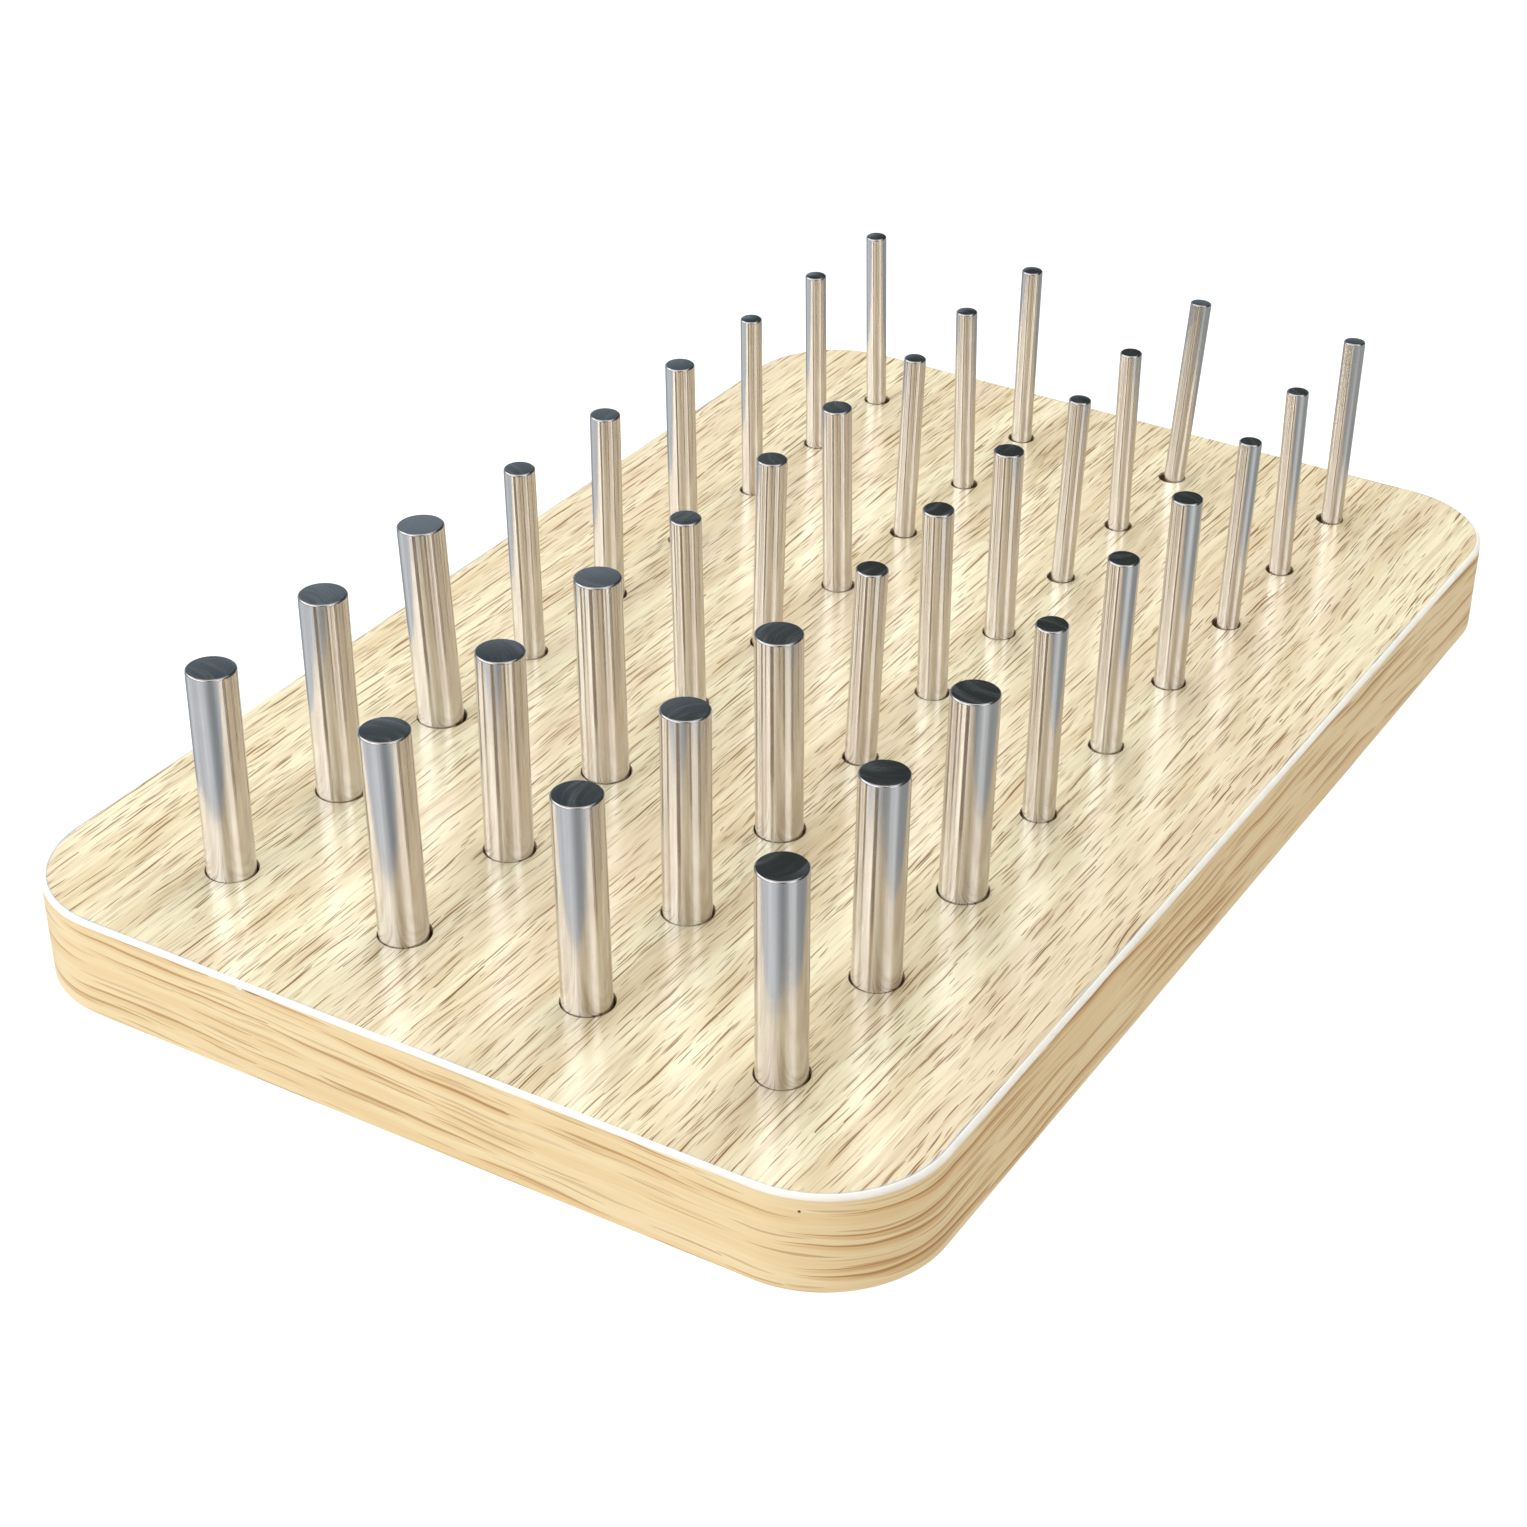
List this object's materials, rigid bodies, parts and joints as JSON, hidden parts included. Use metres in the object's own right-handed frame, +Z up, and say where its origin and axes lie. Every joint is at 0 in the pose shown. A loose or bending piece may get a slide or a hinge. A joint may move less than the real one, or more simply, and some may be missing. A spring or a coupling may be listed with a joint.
{
  "type": "peg board",
  "caption": "Flat oak-look board with round corners and a grid of loose polished steel pegs in graded thicknesses, lifted out and put back to train finger grip.",
  "frame": {"origin": "centre of the footprint, on the underside of the board", "axes": "+X across the columns (a to d), +Y along the rows from the thick pegs to the thin ones, +Z up out of the holes"},
  "size_m": [0.2374, 0.372, 0.0803],
  "materials": {
    "panel_core": "raw wood-based panel, drilled",
    "oak_laminate": "pale oak print under a semi-gloss laminate surface",
    "edge_band": "warm oak-print edge strip with a white trimmed bevel",
    "peg_steel": "polished steel rod with finely ground end faces"
  },
  "bodies": {
    "board": {"board_core": "panel_core", "top_laminate": "oak_laminate", "bottom_laminate": "oak_laminate", "edge_band": "edge_band"},
    "peg_large_a1": {"peg_large_a1": "peg_steel"},
    "peg_large_b1": {"peg_large_b1": "peg_steel"},
    "peg_large_c1": {"peg_large_c1": "peg_steel"},
    "peg_large_d1": {"peg_large_d1": "peg_steel"},
    "peg_large_a2": {"peg_large_a2": "peg_steel"},
    "peg_large_b2": {"peg_large_b2": "peg_steel"},
    "peg_large_c2": {"peg_large_c2": "peg_steel"},
    "peg_large_d2": {"peg_large_d2": "peg_steel"},
    "peg_large_a3": {"peg_large_a3": "peg_steel"},
    "peg_large_b3": {"peg_large_b3": "peg_steel"},
    "peg_large_c3": {"peg_large_c3": "peg_steel"},
    "peg_large_d3": {"peg_large_d3": "peg_steel"},
    "peg_medium_a4": {"peg_medium_a4": "peg_steel"},
    "peg_medium_b4": {"peg_medium_b4": "peg_steel"},
    "peg_medium_c4": {"peg_medium_c4": "peg_steel"},
    "peg_medium_d4": {"peg_medium_d4": "peg_steel"},
    "peg_medium_a5": {"peg_medium_a5": "peg_steel"},
    "peg_medium_b5": {"peg_medium_b5": "peg_steel"},
    "peg_medium_c5": {"peg_medium_c5": "peg_steel"},
    "peg_medium_d5": {"peg_medium_d5": "peg_steel"},
    "peg_medium_a6": {"peg_medium_a6": "peg_steel"},
    "peg_medium_b6": {"peg_medium_b6": "peg_steel"},
    "peg_medium_c6": {"peg_medium_c6": "peg_steel"},
    "peg_medium_d6": {"peg_medium_d6": "peg_steel"},
    "peg_small_a7": {"peg_small_a7": "peg_steel"},
    "peg_small_b7": {"peg_small_b7": "peg_steel"},
    "peg_small_c7": {"peg_small_c7": "peg_steel"},
    "peg_small_d7": {"peg_small_d7": "peg_steel"},
    "peg_small_a8": {"peg_small_a8": "peg_steel"},
    "peg_small_b8": {"peg_small_b8": "peg_steel"},
    "peg_small_c8": {"peg_small_c8": "peg_steel"},
    "peg_small_d8": {"peg_small_d8": "peg_steel"},
    "peg_small_a9": {"peg_small_a9": "peg_steel"},
    "peg_small_b9": {"peg_small_b9": "peg_steel"},
    "peg_small_c9": {"peg_small_c9": "peg_steel"},
    "peg_small_d9": {"peg_small_d9": "peg_steel"}
  },
  "joints": [
    {"name": "peg_large_a1_lift", "type": "slide", "parent": "board", "child": "peg_large_a1", "axis": [0, 0.0175, 0.9998], "range_m": [0, 0.08]},
    {"name": "peg_large_b1_lift", "type": "slide", "parent": "board", "child": "peg_large_b1", "axis": [-0.0175, 0, 0.9998], "range_m": [0, 0.08]},
    {"name": "peg_large_c1_lift", "type": "slide", "parent": "board", "child": "peg_large_c1", "axis": [-0.0175, 0.0087, 0.9998], "range_m": [0, 0.08]},
    {"name": "peg_large_d1_lift", "type": "slide", "parent": "board", "child": "peg_large_d1", "axis": [0, -0.0087, 1], "range_m": [0, 0.08]},
    {"name": "peg_large_a2_lift", "type": "slide", "parent": "board", "child": "peg_large_a2", "axis": [-0.0087, 0.0087, 0.9999], "range_m": [0, 0.08]},
    {"name": "peg_large_b2_lift", "type": "slide", "parent": "board", "child": "peg_large_b2", "axis": [0, 0.0087, 1], "range_m": [0, 0.08]},
    {"name": "peg_large_c2_lift", "type": "slide", "parent": "board", "child": "peg_large_c2", "axis": [-0.0087, 0.0175, 0.9998], "range_m": [0, 0.08]},
    {"name": "peg_large_d2_lift", "type": "slide", "parent": "board", "child": "peg_large_d2", "axis": [0, 0.0175, 0.9998], "range_m": [0, 0.08]},
    {"name": "peg_large_a3_lift", "type": "slide", "parent": "board", "child": "peg_large_a3", "axis": [-0.0436, 0, 0.999], "range_m": [0, 0.08]},
    {"name": "peg_large_b3_lift", "type": "slide", "parent": "board", "child": "peg_large_b3", "axis": [-0.0175, 0.0087, 0.9998], "range_m": [0, 0.08]},
    {"name": "peg_large_c3_lift", "type": "slide", "parent": "board", "child": "peg_large_c3", "axis": [-0.0087, 0, 1], "range_m": [0, 0.08]},
    {"name": "peg_large_d3_lift", "type": "slide", "parent": "board", "child": "peg_large_d3", "axis": [0.0087, 0.0087, 0.9999], "range_m": [0, 0.08]},
    {"name": "peg_medium_a4_lift", "type": "slide", "parent": "board", "child": "peg_medium_a4", "axis": [0, -0.0175, 0.9998], "range_m": [0, 0.08]},
    {"name": "peg_medium_b4_lift", "type": "slide", "parent": "board", "child": "peg_medium_b4", "axis": [0, -0.0262, 0.9997], "range_m": [0, 0.08]},
    {"name": "peg_medium_c4_lift", "type": "slide", "parent": "board", "child": "peg_medium_c4", "axis": [0.0349, 0, 0.9994], "range_m": [0, 0.08]},
    {"name": "peg_medium_d4_lift", "type": "slide", "parent": "board", "child": "peg_medium_d4", "axis": [0.0174, -0.0262, 0.9995], "range_m": [0, 0.08]},
    {"name": "peg_medium_a5_lift", "type": "slide", "parent": "board", "child": "peg_medium_a5", "axis": [0.0087, -0.0087, 0.9999], "range_m": [0, 0.08]},
    {"name": "peg_medium_b5_lift", "type": "slide", "parent": "board", "child": "peg_medium_b5", "axis": [0.0175, 0.0087, 0.9998], "range_m": [0, 0.08]},
    {"name": "peg_medium_c5_lift", "type": "slide", "parent": "board", "child": "peg_medium_c5", "axis": [0.0087, -0.0262, 0.9996], "range_m": [0, 0.08]},
    {"name": "peg_medium_d5_lift", "type": "slide", "parent": "board", "child": "peg_medium_d5", "axis": [0.0175, -0.0087, 0.9998], "range_m": [0, 0.08]},
    {"name": "peg_medium_a6_lift", "type": "slide", "parent": "board", "child": "peg_medium_a6", "axis": [0, -0.0175, 0.9998], "range_m": [0, 0.08]},
    {"name": "peg_medium_b6_lift", "type": "slide", "parent": "board", "child": "peg_medium_b6", "axis": [-0.0087, -0.0262, 0.9996], "range_m": [0, 0.08]},
    {"name": "peg_medium_c6_lift", "type": "slide", "parent": "board", "child": "peg_medium_c6", "axis": [0, 0, 1], "range_m": [0, 0.08]},
    {"name": "peg_medium_d6_lift", "type": "slide", "parent": "board", "child": "peg_medium_d6", "axis": [0.0087, 0, 1], "range_m": [0, 0.08]},
    {"name": "peg_small_a7_lift", "type": "slide", "parent": "board", "child": "peg_small_a7", "axis": [0, -0.0175, 0.9998], "range_m": [0, 0.08]},
    {"name": "peg_small_b7_lift", "type": "slide", "parent": "board", "child": "peg_small_b7", "axis": [0.0262, 0.0087, 0.9996], "range_m": [0, 0.08]},
    {"name": "peg_small_c7_lift", "type": "slide", "parent": "board", "child": "peg_small_c7", "axis": [0.0262, 0.0174, 0.9995], "range_m": [0, 0.08]},
    {"name": "peg_small_d7_lift", "type": "slide", "parent": "board", "child": "peg_small_d7", "axis": [0.0087, 0.0349, 0.9994], "range_m": [0, 0.08]},
    {"name": "peg_small_a8_lift", "type": "slide", "parent": "board", "child": "peg_small_a8", "axis": [-0.0087, -0.0175, 0.9998], "range_m": [0, 0.08]},
    {"name": "peg_small_b8_lift", "type": "slide", "parent": "board", "child": "peg_small_b8", "axis": [-0.0262, 0, 0.9997], "range_m": [0, 0.08]},
    {"name": "peg_small_c8_lift", "type": "slide", "parent": "board", "child": "peg_small_c8", "axis": [0, -0.0087, 1], "range_m": [0, 0.08]},
    {"name": "peg_small_d8_lift", "type": "slide", "parent": "board", "child": "peg_small_d8", "axis": [-0.0174, 0.0174, 0.9997], "range_m": [0, 0.08]},
    {"name": "peg_small_a9_lift", "type": "slide", "parent": "board", "child": "peg_small_a9", "axis": [-0.0087, -0.0349, 0.9994], "range_m": [0, 0.08]},
    {"name": "peg_small_b9_lift", "type": "slide", "parent": "board", "child": "peg_small_b9", "axis": [0.0087, 0, 1], "range_m": [0, 0.08]},
    {"name": "peg_small_c9_lift", "type": "slide", "parent": "board", "child": "peg_small_c9", "axis": [0.0261, 0.0958, 0.9951], "range_m": [0, 0.08]},
    {"name": "peg_small_d9_lift", "type": "slide", "parent": "board", "child": "peg_small_d9", "axis": [-0.0174, 0.0697, 0.9974], "range_m": [0, 0.08]}
  ]
}
